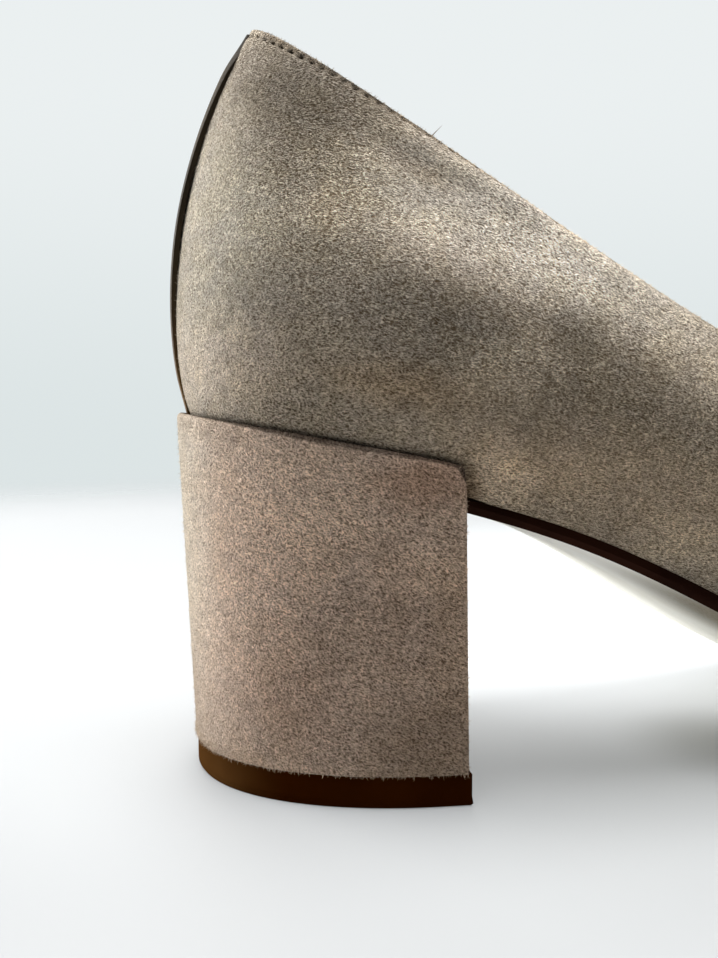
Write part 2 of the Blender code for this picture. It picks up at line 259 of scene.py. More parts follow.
def turned(tree, coords, degrees, stretch):
    turn = [math.radians(angle) for angle in degrees]
    values = {"Vector": coords, "Rotation": turn, "Scale": stretch}
    return addNode(tree, "ShaderNodeMapping", values, vector_type="TEXTURE").outputs["Vector"]


def newGroup(name, inputs, outputs):
    tree = bpy.data.node_groups.new(name, "ShaderNodeTree")
    for label, kind in inputs:
        tree.interface.new_socket(label, in_out="INPUT", socket_type="NodeSocket" + kind)
    for label, kind in outputs:
        tree.interface.new_socket(label, in_out="OUTPUT", socket_type="NodeSocket" + kind)
    way = tree.nodes.new("NodeGroupInput").outputs
    end = tree.nodes.new("NodeGroupOutput").inputs
    return tree, way, end


def newMaterial(name, shader):
    material = bpy.data.materials.new(name)
    material.use_nodes = True
    tree = material.node_tree
    bsdf = tree.nodes["Principled BSDF"]
    for label, value in shader.items():
        bsdf.inputs[label].default_value = value
    coords = addNode(tree, "ShaderNodeTexCoord").outputs["Object"]
    return material, tree, bsdf, coords


def useGroup(tree, group, inputs):
    return addNode(tree, "ShaderNodeGroup", inputs, node_tree=group).outputs


def addBump(tree, bsdf, height, strength, distance):
    values = {"Height": height, "Strength": strength, "Distance": distance}
    made = addNode(tree, "ShaderNodeBump", values)
    tree.links.new(made.outputs["Normal"], bsdf.inputs["Normal"])


# Shared effects

napForm = {
    "wander": 700.0,
    "curl": 0.0006,
    "lying": ((8, 2.3), (34, 2.3), (-50, 1.9)),  # angle and stretch: level, slanted, upright
    "specks": 7000.0,
    "speckShare": 0.26,
    "pitRange": (0.37, 0.60),
    "threads": 3000.0,
    "threadTurn": (0, 20, 0),
    "threadStretch": (2.2, 1.0, 1.0),
    "threadWidth": 0.13,
    "threadShare": 0.40,
    "deepPower": 1.9,
    "calmShare": 0.22,
    "broadClouds": 46.0,
    "closeClouds": 330.0,
    "tufts": 1000.0,
    "tuftShare": 0.35,
    "hues": 240.0,
    "toneRange": (0.36, 0.64),
}


def napGroup():
    # brushed nap: short fibres that lie level, slanted or upright, with small pits between them
    inputs = [("Coordinates", "Vector")]
    inputs += [(label, "Float") for label in ("Fibres", "Slant", "Upright", "Deep", "Calm")]
    outputs = [(label, "Float") for label in ("Nap", "Tone", "Hue")]
    tree, way, end = newGroup("suedeNap", inputs, outputs)
    form = napForm
    plain = way["Coordinates"]
    wander = noise(tree, plain, form["wander"], output="Color")
    shift = vectorMaths(tree, "SUBTRACT", {0: wander, 1: (0.5, 0.5, 0.5)})[0]
    curl = vectorMaths(tree, "SCALE", {0: shift, "Scale": form["curl"]})[0]
    moved = vectorMaths(tree, "ADD", {0: plain, 1: curl})[0]
    lying = []
    for angle, stretch in form["lying"]:
        laid = turned(tree, moved, (0, angle, 0), (stretch, 1.0, 1.0))
        lying.append(noise(tree, laid, way["Fibres"], 1.0))
    clumps = mixValue(tree, way["Upright"], mixValue(tree, way["Slant"], lying[0], lying[1]), lying[2])
    specks = noise(tree, moved, form["specks"], 1.0)
    pits = ramp(tree, mixValue(tree, form["speckShare"], clumps, specks), *form["pitRange"], shape="LINEAR")
    drawn = turned(tree, moved, form["threadTurn"], form["threadStretch"])
    threads = noise(tree, drawn, form["threads"], 1.0)
    ridge = maths(tree, "ABSOLUTE", maths(tree, "SUBTRACT", threads, 0.5))
    nap = mixValue(tree, form["threadShare"], pits, ramp(tree, ridge, 0.0, form["threadWidth"], 1.0, 0.0))
    nap = mixValue(tree, way["Deep"], nap, maths(tree, "POWER", nap, form["deepPower"]))
    feed(tree, end["Nap"], mixValue(tree, maths(tree, "MULTIPLY", way["Calm"], form["calmShare"]), nap, 0.5))
    broad = noise(tree, plain, form["broadClouds"], 3.0, 0.6)
    close = noise(tree, moved, form["closeClouds"], 3.0, 0.6)
    tufts = noise(tree, moved, form["tufts"], 2.0, 0.6)
    clouds = mixValue(tree, form["tuftShare"], mixValue(tree, 0.5, broad, close), tufts)
    feed(tree, end["Tone"], ramp(tree, clouds, *form["toneRange"], shape="LINEAR"))
    feed(tree, end["Hue"], ramp(tree, noise(tree, plain, form["hues"]), *form["toneRange"]))
    return tree


areaInputs = [("Coordinates", "Vector"), ("Place", "Vector"), ("Reach", "Vector"), ("Turn", "Float")]


def softMask(tree, way):
    # one inside a turned egg shape, fading to nothing at its skin
    away = vectorMaths(tree, "SUBTRACT", {0: way["Coordinates"], 1: way["Place"]})[0]
    flat = addNode(tree, "ShaderNodeVectorRotate", {"Vector": away, "Angle": way["Turn"]},
                   rotation_type="Y_AXIS", invert=True).outputs[0]
    scaled = vectorMaths(tree, "DIVIDE", {0: flat, 1: way["Reach"]})[0]
    far = vectorMaths(tree, "LENGTH", {0: scaled})["Value"]
    return ramp(tree, far, 0.1, 1.0, 1.0, 0.0)


def softSpotGroup():
    tree, way, end = newGroup("softSpot", areaInputs, [("Mask", "Float")])
    feed(tree, end["Mask"], softMask(tree, way))
    return tree


def paintedLightPatchGroup():
    # a soft patch of painted light and shade, multiplied into the colour
    inputs = [("Colour", "Color"), *areaInputs, ("Tint", "Color")]
    tree, way, end = newGroup("paintedLightPatch", inputs, [("Colour", "Color")])
    tint = mixColour(tree, softMask(tree, way), (1.0, 1.0, 1.0, 1.0), way["Tint"])
    feed(tree, end["Colour"], mixColour(tree, 1.0, way["Colour"], tint, "MULTIPLY"))
    return tree


grainForm = {"wrinkle": 0.22, "rough": 2400.0, "roughShare": 0.35,
             "clouds": 70.0, "cloudRange": (0.35, 0.65)}


def grainGroup():
    # fine pores and wrinkles of smooth leather
    inputs = [("Coordinates", "Vector"), ("Pores", "Float")]
    outputs = [("Grain", "Float"), ("Cloud", "Float")]
    tree, way, end = newGroup("leatherGrain", inputs, outputs)
    cells = addNode(tree, "ShaderNodeTexVoronoi", {"Vector": way["Coordinates"], "Scale": way["Pores"]},
                    feature="DISTANCE_TO_EDGE")
    wrinkles = ramp(tree, cells.outputs["Distance"], 0.0, grainForm["wrinkle"])
    rough = noise(tree, way["Coordinates"], grainForm["rough"])
    feed(tree, end["Grain"], mixValue(tree, grainForm["roughShare"], wrinkles, rough))
    clouds = noise(tree, way["Coordinates"], grainForm["clouds"], 3.0)
    feed(tree, end["Cloud"], ramp(tree, clouds, *grainForm["cloudRange"]))
    return tree


suedeNap = napGroup()
softSpot = softSpotGroup()
paintedLightPatch = paintedLightPatchGroup()
leatherGrain = grainGroup()


# Materials

def patch(place, reach, tint=None, turn=0):
    # a soft egg shape on the shoe, turned about the sideways axis
    area = {"Place": spot(*place), "Reach": [length * mm for length in reach], "Turn": math.radians(turn)}
    if tint:
        area["Tint"] = (*tint, 1.0)
    return area


def tintedBy(tree, colour, coords, paintedLightAndShade):
    # each patch multiplies painted light and shade into the colour
    for area in paintedLightAndShade:
        colour = useGroup(tree, paintedLightPatch, {"Colour": colour, "Coordinates": coords, **area})["Colour"]
    return colour


def suedeMaterial(name, look):
    matt = {"Roughness": 1.0, "Specular IOR Level": 0.0}
    material, tree, bsdf, coords = newMaterial(name, matt)
    laid = {}
    for way in ("slant", "upright", "deep", "calm"):
        laid[way] = 0.0
        for area in look[way]:
            mask = useGroup(tree, softSpot, {"Coordinates": coords, **area})["Mask"]
            laid[way] = mixValue(tree, mask, laid[way], 1.0)
    values = {way.capitalize(): value for way, value in laid.items()}
    nap = useGroup(tree, suedeNap, {"Coordinates": coords, "Fibres": look["fibres"], **values})
    colour = mixColour(tree, nap["Nap"], (*look["pits"], 1.0), (*look["tips"], 1.0))
    hue = mixColour(tree, nap["Hue"], (*look["warm"], 1.0), (*look["cool"], 1.0))
    colour = mixColour(tree, 1.0, colour, hue, "MULTIPLY")
    tone = ramp(tree, nap["Tone"], 0.0, 1.0, *look["mottle"])
    shade = addNode(tree, "ShaderNodeCombineColor", {"Red": tone, "Green": tone, "Blue": tone})
    colour = mixColour(tree, 1.0, colour, shade.outputs["Color"], "MULTIPLY")
    # painted shade in stitch holes and along the heel's rim, and on the upper a painted highlight on the
    # turned edge, read from a point attribute
    if look["shade"]:
        paintedShadeAndHighlight = addNode(tree, "ShaderNodeAttribute", attribute_name=look["shade"]).outputs["Color"]
        colour = mixColour(tree, 1.0, colour, paintedShadeAndHighlight, "MULTIPLY")
    # then the patches of painted light and shade
    feed(tree, bsdf.inputs["Base Color"], tintedBy(tree, colour, coords, look["paintedLightAndShade"]))
    addBump(tree, bsdf, nap["Nap"], look["bump"], look["bumpDepth"])
    return material


poreRoughness = 0.12  # the pores are this much duller than the leather between them


def leatherMaterial(name, look):
    material, tree, bsdf, coords = newMaterial(name, {"Specular IOR Level": look["specular"]})
    grain = useGroup(tree, leatherGrain, {"Coordinates": coords, "Pores": look["pores"]})
    colour = mixColour(tree, grain["Cloud"], (*look["dark"], 1.0), (*look["light"], 1.0))
    colour = tintedBy(tree, colour, coords, look.get("paintedLightAndShade", []))
    feed(tree, bsdf.inputs["Base Color"], colour)
    rough = ramp(tree, grain["Grain"], 0.0, 1.0, look["roughness"] + poreRoughness, look["roughness"])
    feed(tree, bsdf.inputs["Roughness"], rough)
    addBump(tree, bsdf, grain["Grain"], look["bump"], look["bumpDepth"])
    return material


# Upper: suede over the last, turned in at the top line

upperLook = {
    "fibres": 5300.0,  # fibres to the metre
    "pits": (0.085, 0.059, 0.034),
    "tips": (0.73, 0.644, 0.526),
    "warm": (1.02, 1.00, 0.97),
    "cool": (1.00, 0.99, 1.00),
    "mottle": (0.83, 1.17),
    "bump": 1.0,
    "bumpDepth": 0.00045,
    "shade": "stitchShade",
    "slant": [patch((48, -22, 76), (40, 60, 20), turn=28)],
    "upright": [patch((-2, -6, 78), (18, 40, 50))],
    "deep": [patch((42, -25, 62), (60, 60, 16), turn=20),
             patch((18, -18, 86), (20, 60, 22))],
    "calm": [patch((56, -25, 42), (60, 60, 15), turn=20),
             patch((-2, -6, 78), (12, 40, 50))],
    # painted light and shade: lighter on the crest and at the left where light falls, darker in bands below,
    # a painted shadow at the heel's breast corner
    "paintedLightAndShade": [
        patch((46, -22, 76), (34, 40, 13), (2.05, 2.12, 2.22), 22),
        patch((1, -8, 76), (13, 40, 48), (1.28, 1.34, 1.38)),
        patch((4, -14, 60), (13, 40, 11), (1.24, 1.20, 1.20)),
        patch((18, -18, 81), (22, 40, 15), (1.34, 1.36, 1.34), 12),
        patch((70, -24, 60.5), (20, 40, 8), (1.42, 1.42, 1.42), 27),
        patch((14, -14, 97), (14, 40, 10), (0.67, 0.67, 0.66), 30),
        patch((62, -25, 42), (36, 40, 10), (1.16, 1.14, 1.14), 20),
        patch((42, -25, 46), (14, 40, 8), (1.26, 1.21, 1.16), 12),
        patch((26, -25, 57), (16, 40, 5), (0.92, 0.85, 0.77), 10),
        patch((35.2, -25, 42), (3.4, 40, 6), (0.78, 0.68, 0.58)),
        patch((32, -23, 74), (20, 40, 7), (1.30, 1.28, 1.28), 24),
        patch((22, -20, 86), (11, 40, 7), (1.24, 1.24, 1.24), 25),
        patch((30, -20, 82.5), (9, 40, 5), (0.86, 0.86, 0.87), 25),
        patch((48, -22, 72.5), (16, 40, 5), (1.18, 1.18, 1.18), 27),
        patch((30, -19.5, 85.4), (8, 40, 2.2), (0.84, 0.81, 0.78), 30),
        patch((32, -19, 88.4), (13, 40, 2.4), (1.30, 1.30, 1.30), 31),
        patch((46, -25, 62.5), (14, 40, 4.5), (1.28, 1.27, 1.25), 24),
        patch((48, -25, 44), (70, 40, 18), (0.99, 0.92, 0.84), 16),
        patch((10, -16, 77), (9, 40, 10), (1.16, 1.17, 1.17)),
        patch((66, -25, 50), (30, 40, 22), (1.16, 1.14, 1.10), 20),
        patch((17.5, -20, 80), (8, 40, 5), (1.40, 1.38, 1.36)),
        patch((40.5, -25, 59.5), (11, 40, 6.5), (1.60, 1.60, 1.58)),
        patch((40, -25, 44.5), (6.5, 40, 7), (1.50, 1.50, 1.50)),
        patch((44, -26, 49.5), (5.5, 40, 6), (0.70, 0.71, 0.72)),
        patch((50.5, -25, 63.5), (6, 40, 6), (0.72, 0.72, 0.71)),
        patch((66.5, -25, 35.5), (11, 40, 5.5), (1.36, 1.36, 1.34), 20),
    ],
}

upperForm = {
    "seedOutside": (30.0, -26.0, 62.0),
    "seedMargin": (130.0, -33.0, 5.0),
    "sharp": 40.0,
    "featherCrease": 1.0,
    "wall": 1.0,  # suede and stiffener, without the lining
    "edgeBand": 2.1,  # finer faces below the top line
    "edgeRounding": 0.42,
    "tuckDepth": 0.25,  # where the upper turns in above the heel's rim
    "tuckReach": 1.4,
    "rimFrom": 0.1,
    "rimBackEnd": (-2.0, 4.0),
    "rimFrontEnd": (33.0, 38.5),
    "rimShade": 0.58,
    "rimShadeReach": 1.0,
    "skin": 0.3,  # closer than this to the bare sheet is the outside
    "skinFacing": 0.2,
    "edgeCuts": 3,
}

# soft ridges and troughs: from one place to another, reach and rise
upperForms = [
    ((28, -24, 71.5), (66, -25, 54.5), 7.5, 1.30),
    ((25, -19, 88.4), (36, -20.5, 82.2), 2.0, -0.32),
    ((29, -18.4, 90.4), (46, -20.3, 80.3), 1.7, 0.28),
    ((20, -22, 72), (50, -25, 60), 7.0, -0.25),
    ((35.8, -25, 45), (37.0, -24.5, 39), 1.5, -0.40),
    ((8, -16, 84), (10, -18, 72), 6.0, 0.25),
]


def boundaryLoops(piece):
    # open edges of a sheet as ordered runs of vertex numbers
    uses = {}
    for face in piece.data.polygons:
        for key in face.edge_keys:
            uses[key] = uses.get(key, 0) + 1
    beside = {}
    for (a, b), count in uses.items():
        if count == 1:
            beside.setdefault(a, []).append(b)
            beside.setdefault(b, []).append(a)
    loops = []
    while beside:
        start = min(beside)
        loop = [start]
        here = start
        while beside.get(here):
            following = beside[here].pop()
            beside[following].remove(here)
            here = following
            loop.append(here)
        loops.append(loop[:-1])
        beside = {key: ends for key, ends in beside.items() if ends}
    return loops


def topLine(piece):
    points = places(piece)
    loops = boundaryLoops(piece)
    highest = max(loops, key=lambda loop: points[loop][:, 2].mean())
    run = points[highest]
    start = int(np.argmin(run[:, 0]))  # from the back seam
    run = np.roll(run, -start, axis=0)
    if run[1, 1] > run[-1, 1]:  # inner side first
        run = np.roll(run[::-1], 1, axis=0)
    return run


def shapeSheet(piece, forms):
    # the ridges and troughs, as listed
    points = places(piece)
    normals = vertexNormals(piece)
    moves = np.zeros(len(points))
    for begin, end, reach, rise in forms:
        start = np.array(spot(*begin))
        along = np.array(spot(*end)) - start
        share = np.clip((points - start) @ along / (along @ along), 0.0, 1.0)
        away = np.linalg.norm(points - start - share[:, None] * along, axis=1) / (reach * mm)
        moves += rise * mm * np.exp(-away ** 2)
    setPlaces(piece, points + normals * moves[:, None])


def smoothStep(values, low, high):
    share = np.clip((values - low) / (high - low), 0.0, 1.0)
    return share * share * (3.0 - 2.0 * share)


def fromBack(points):
    return (points[:, 0] - heelBack) / mm


heelForm = {
    "rimStart": -2.6,  # the rim's back end, its height there and its fall to the front
    "rimBack": 53.2,
    "rimFall": 0.185,
    "hold": 1.1,  # cuts that hold the edges when the block is rounded
    "bottom": 4.8,
    "breast": 35.9,
    "breastTilt": 0.02,
    "sharpBelow": 10.0,
    "lowerEnd": 5.5,
    "lowerFacing": -0.9,
    "closeGap": 0.28,
    "rimShade": 0.76,
    "rimNear": 1.05,
    "rimFar": 1.40,
}


def rimHeight(points):
    fall = heelForm["rimFall"] * (fromBack(points) - heelForm["rimStart"])
    return points[:, 2] / mm - heelForm["rimBack"] + fall


def rimCloseness(points, reach):
    # one at the heel's rim, nothing above its reach or past the heel
    x = fromBack(points)
    close = 1.0 - smoothStep(rimHeight(points), upperForm["rimFrom"], reach)
    return close * smoothStep(x, *upperForm["rimBackEnd"]) * (1.0 - smoothStep(x, *upperForm["rimFrontEnd"]))


def tuckAtRim(piece):
    # the upper turns in under itself where it meets the heel's rim
    points = places(piece)
    depth = rimCloseness(points, upperForm["tuckReach"]) * upperForm["tuckDepth"] * mm
    setPlaces(piece, points - vertexNormals(piece) * depth[:, None])


def makeUpperSheet():
    piece = copyNode("upper", "suede_upper")
    seeds = [spot(*upperForm["seedOutside"]), spot(*upperForm["seedMargin"])]
    keepRegions(piece, upperForm["sharp"], seeds)
    creaseSharp(piece, upperForm["sharp"], upperForm["featherCrease"])
    roundOff(piece, levels=2)
    shapeSheet(piece, upperForms)
    tuckAtRim(piece)
    return piece


upper = makeUpperSheet()
lining = copyNode("upper", "lining")
edgeRun = topLine(upper)
print("upper sheet:", len(upper.data.polygons), "faces, top line of", len(edgeRun), "points")


def runLengths(run):
    closed = np.vstack([run, run[:1]])
    return np.concatenate([[0.0], np.cumsum(np.linalg.norm(np.diff(closed, axis=0), axis=1))])


def alongRun(run, steps):
    lengths = runLengths(run)
    closed = np.vstack([run, run[:1]])
    steps = np.mod(steps, lengths[-1])
    return np.stack([np.interp(steps, lengths, closed[:, i]) for i in range(3)], axis=1)


def searchTree(piece):
    corners = [vertex.co for vertex in piece.data.vertices]
    return BVHTree.FromPolygons(corners, [face.vertices[:] for face in piece.data.polygons])


def distances(search, points):
    return np.array([search.find_nearest(Vector(point))[3] for point in points]) / mm


def edgeDistance(points, run):
    # distance of each point from the top line
    line = alongRun(run, np.linspace(0.0, runLengths(run)[-1], 4 * len(run), endpoint=False))
    best = np.zeros(len(points))
    block = 2000  # points at a time, to spare memory
    for start in range(0, len(points), block):
        part = points[start:start + block]
        gaps = np.linalg.norm(part[:, None, :] - line[None, :, :], axis=2)
        best[start:start + block] = gaps.min(axis=1)
    return best


topStitch = {
    "dropBack": 1.05,  # below the top line at the back seam
    "dropFront": 0.45,
    "dropFrom": 8.0,
    "dropTo": 22.0,
    "pitch": 1.93,
    "length": 1.30,
    "thread": 0.34,
    "sunk": 0.22,
    "holeReach": 0.28,
    "holeStretch": 1.6,
    "holeDepth": 0.60,
    "holeSeed": 5,
    "holeSizes": (0.8, 1.2),
    "holeDepths": (0.45, 1.0),
    "grooveReach": 0.34,
    "grooveDepth": 0.12,
    # painted shade in the stitch holes and a painted highlight on the turned edge
    "holeShade": 0.72,
    "edgeLight": 0.22,  # the turned edge catches the light
    "lightRange": (-0.3, 0.1),
    "lookAhead": 0.3,
    "dipFrom": 0.55,  # the ends of a thread dip into its holes
    "dip": 0.6,
}


def rowDrop(points):
    share = smoothStep(fromBack(points), topStitch["dropFrom"], topStitch["dropTo"])
    return topStitch["dropBack"] + share * (topStitch["dropFront"] - topStitch["dropBack"])


def stitchPlaces(search, run, pitch):
    # middle, direction along the row and outward direction of each stitch
    total = runLengths(run)[-1]
    count = int(round(total / (pitch * mm)))
    steps = np.arange(count) * total / count
    here = alongRun(run, steps)
    ahead = alongRun(run, steps + topStitch["lookAhead"] * mm)
    found = []
    for point, following, drop in zip(here, ahead, rowDrop(here)):
        along = Vector(following - point).normalized()
        surface, normal, *_ = search.find_nearest(Vector(point))
        down = normal.cross(along).normalized()
        if down.z > 0.0:
            down.negate()
        surface, normal, *_ = search.find_nearest(Vector(point) + down * drop * mm)
        along = (along - normal * along.dot(normal)).normalized()
        found.append((surface, along, normal))
    return found


stitches = stitchPlaces(searchTree(upper), edgeRun, topStitch["pitch"])
print("top line stitches:", len(stitches))


def refineEdgeBand(piece, search):
    # finer faces on the outside, along the top line
    centres = np.array([face.center for face in piece.data.polygons])
    close = np.flatnonzero(edgeDistance(centres, edgeRun) < upperForm["edgeBand"] * mm)
    chosen = np.zeros(len(centres), bool)
    for index in close:
        surface, normal, face, away = search.find_nearest(Vector(centres[index]))
        along = normal.dot(piece.data.polygons[index].normal) > upperForm["skinFacing"]
        chosen[index] = along and away < upperForm["skin"] * mm
    editFaces(piece)
    setMode("OBJECT")
    piece.data.polygons.foreach_set("select", chosen)
    setMode("EDIT")
    bpy.ops.mesh.subdivide(number_cuts=upperForm["edgeCuts"], ngon=False, quadcorner="INNERVERT")
    setMode("OBJECT")


def keepShade(piece, name, shade):
    attribute = piece.data.attributes.new(name, "FLOAT", "POINT")
    attribute.data.foreach_set("value", np.asarray(shade, np.float32))


def puckerEdge(piece, search):
    # the thread pulls a groove along the row and a small hole at each end of a stitch
    points = places(piece)
    normals = vertexNormals(piece)
    gaps = edgeDistance(points, edgeRun)
    index = np.flatnonzero(gaps < upperForm["edgeBand"] * mm)
    skin = upperForm["skin"] * mm
    outside = [search.find_nearest(Vector(points[i]))[3] < skin for i in index]
    index = index[np.array(outside)]
    row = gaps[index] / mm - rowDrop(points[index])
    sunk = np.zeros(len(index))
    chance = np.random.default_rng(topStitch["holeSeed"])
    for middle, along, normal in stitches:
        hole = np.array(middle + along * 0.5 * topStitch["pitch"] * mm)
        offset = points[index] - hole
        reach = topStitch["holeReach"] * chance.uniform(*topStitch["holeSizes"]) * mm
        offset -= np.outer(offset @ np.array(along), along) * (1.0 - 1.0 / topStitch["holeStretch"])
        away = np.linalg.norm(offset, axis=1) / reach
        sunk = np.maximum(sunk, chance.uniform(*topStitch["holeDepths"]) * np.exp(-away ** 2))
    groove = np.exp(-(row / topStitch["grooveReach"]) ** 2)
    depth = sunk * topStitch["holeDepth"] + groove * topStitch["grooveDepth"]
    points[index] -= normals[index] * (depth * mm)[:, None]
    setPlaces(piece, points)
    # painted shade in the stitch holes, a painted highlight on the turned edge and a painted shadow along
    # the heel's rim, kept per point
    shade = np.ones(len(points))
    shade[index] -= topStitch["holeShade"] * sunk
    shade[index] *= 1.0 + topStitch["edgeLight"] * (1.0 - smoothStep(row, *topStitch["lightRange"]))
    shade *= 1.0 - upperForm["rimShade"] * rimCloseness(points, upperForm["rimShadeReach"])
    keepShade(piece, upperLook["shade"], shade)


outsideSearch = searchTree(upper)
thicken(upper, upperForm["wall"])
bevelSharp(upper, upperForm["edgeRounding"] * mm, degrees=62, segments=3)
refineEdgeBand(upper, outsideSearch)
puckerEdge(upper, outsideSearch)
shadeSmooth(upper, degrees=70)
upper.data.materials.append(suedeMaterial("taupeSuede", upperLook))
wearPiece(upper, "taupe_suede", "upper")


# Stitches of the top line

def makeThread():
    # one stitch: a short thread whose ends dip into its holes
    half = 0.5 * topStitch["length"] * mm
    thick = 0.5 * topStitch["thread"] * mm
    deselectAll()
    bpy.ops.mesh.primitive_uv_sphere_add(segments=8, ring_count=6, radius=1.0, location=(0, 0, 0),
                                         rotation=(0, math.pi / 2, 0))
    bpy.ops.object.transform_apply(location=True, rotation=True, scale=True)
    thread = bpy.context.active_object
    setMode("EDIT")
    selectAll("SELECT")
    bpy.ops.transform.resize(value=(half, thick, thick))
    setMode("OBJECT")
    pickFaces(thread, lambda centre, normal: abs(centre.x) > topStitch["dipFrom"] * half)
    bpy.ops.transform.translate(value=(0, 0, -topStitch["dip"] * thick))
    setMode("OBJECT")
    shadeSmooth(thread, degrees=80)
    return thread


def sewRow(name, thread, row, lift):
    copies = []
    for middle, along, normal in row:
        copy = thread.copy()
        copy.data = thread.data.copy()
        across = normal.cross(along)
        turn = Matrix((along, across, normal)).transposed().to_4x4()
        copy.data.transform(Matrix.Translation(middle + normal * lift) @ turn)
        bpy.context.scene.collection.objects.link(copy)
        copies.append(copy)
    deselectAll()
    for copy in copies:
        copy.select_set(True)
    bpy.context.view_layer.objects.active = copies[0]
    bpy.ops.object.join()
    joined = bpy.context.active_object
    joined.name = name
    joined.data.name = name
    return joined


threadLook = {"pores": 2600.0, "roughness": 0.8, "specular": 0.1, "bump": 0.5, "bumpDepth": 0.00008,
              "dark": (0.22, 0.18, 0.13), "light": (0.44, 0.38, 0.30)}
threadMaterial = leatherMaterial("sewingThread", threadLook)

thread = makeThread()
topRow = sewRow("topline_stitches", thread, stitches, -topStitch["sunk"] * mm)
topRow.data.materials.append(threadMaterial)
wearPiece(topRow, "taupe_suede")


# Lining: smooth leather inside the wall

liningLook = {"pores": 1300.0, "roughness": 0.48, "specular": 0.4, "bump": 0.25, "bumpDepth": 0.0001,
              "dark": (0.50, 0.40, 0.29), "light": (0.60, 0.49, 0.37)}
liningForm = {"seedInside": (30.0, -23.0, 62.0), "sharp": 40.0, "thickness": 0.5, "edgeRounding": 0.15}

keepRegions(lining, liningForm["sharp"], [spot(*liningForm["seedInside"])])
roundOff(lining, levels=1)
liningRow = stitchPlaces(searchTree(lining), topLine(lining), topStitch["pitch"])
thicken(lining, liningForm["thickness"])
bevelSharp(lining, liningForm["edgeRounding"] * mm, degrees=62, segments=2)
shadeSmooth(lining, degrees=70)
lining.data.materials.append(leatherMaterial("liningLeather", liningLook))
wearPiece(lining, "footbed_leather", "upper")
innerRow = sewRow("lining_stitches", thread, liningRow, -topStitch["sunk"] * mm)
innerRow.data.materials.append(threadMaterial)
wearPiece(innerRow, "footbed_leather")
takeUp(thread)
bpy.ops.object.delete()


# Back strip: smooth dark leather over the back seam

stripLook = {"pores": 1500.0, "roughness": 0.70, "specular": 0.15, "bump": 0.3, "bumpDepth": 0.0001,
             "dark": (0.022, 0.015, 0.007), "light": (0.048, 0.033, 0.015),
             # painted light and shade: darker near the top, lighter low down where the light falls on the
             # strip
             "paintedLightAndShade": [patch((9, -2, 108), (7, 12, 10), (0.45, 0.45, 0.42)),
                         patch((-2, 0, 56), (14, 20, 20), (3.0, 2.5, 2.0))]}
stripForm = {
    "seat": 0.28,
    "seatFacing": 0.55,
    "seatBelow": 108,
    "edgeRounding": 0.18,
    "taperFrom": 84.0,
    "taperTo": 54.5,
    "sink": 0.62,
    "footHeight": 4.0,  # the strip's foot is drawn down onto the rim
    "footSlope": 0.35,
    "reachDown": 1.3,
    "narrowFrom": 80.0,
    "narrowTo": 107.0,
    "narrow": 0.24,
    "sinkTop": 0.17,
    "tipFrom": 102.0,
    "tipTo": 109.0,
    "tipNarrow": 0.30,
    "lower": 0.8,
}


def taperFoot(piece):
    # the strip thins out towards the heel's rim and ends on it
    points = places(piece)
    share = 1.0 - smoothStep(points[:, 2] / mm, stripForm["taperTo"], stripForm["taperFrom"])
    points[:, 0] += share * stripForm["sink"] * mm
    footTop = stripForm["taperTo"] + stripForm["footHeight"]
    foot = 1.0 - smoothStep(points[:, 2] / mm, stripForm["taperTo"], footTop)
    points[:, 2] -= foot * stripForm["reachDown"] * mm
    points[:, 0] += foot * stripForm["footSlope"] * stripForm["reachDown"] * mm
    setPlaces(piece, points)


def narrowTop(piece):
    # the strip narrows and flattens towards the top line
    points = places(piece)
    share = smoothStep(points[:, 2] / mm, stripForm["narrowFrom"], stripForm["narrowTo"])
    tip = smoothStep(points[:, 2] / mm, stripForm["tipFrom"], stripForm["tipTo"])
    narrower = share * stripForm["narrow"] + tip * stripForm["tipNarrow"]
    points[:, 1] -= (points[:, 1] - heelAxis) * narrower
    points[:, 0] += share * stripForm["sinkTop"] * mm
    points[:, 2] -= tip * stripForm["lower"] * mm
    setPlaces(piece, points)


strip = copyNode("back_strip", "back_strip_leather")
creaseSharp(strip, degrees=60, crease=1.0)
roundOff(strip, levels=2)
seatBelow = spot(0, 0, stripForm["seatBelow"]).z
pickFaces(strip, lambda centre, normal: normal.x > stripForm["seatFacing"] and centre.z < seatBelow)
bpy.ops.transform.shrink_fatten(value=stripForm["seat"] * mm)
setMode("OBJECT")
taperFoot(strip)
narrowTop(strip)
bevelSharp(strip, stripForm["edgeRounding"] * mm, degrees=55, segments=3)
shadeSmooth(strip, degrees=60)
strip.data.materials.append(leatherMaterial("darkStripLeather", stripLook))
wearPiece(strip, "strip_leather", "back_strip")


# Heel: suede wrapped block

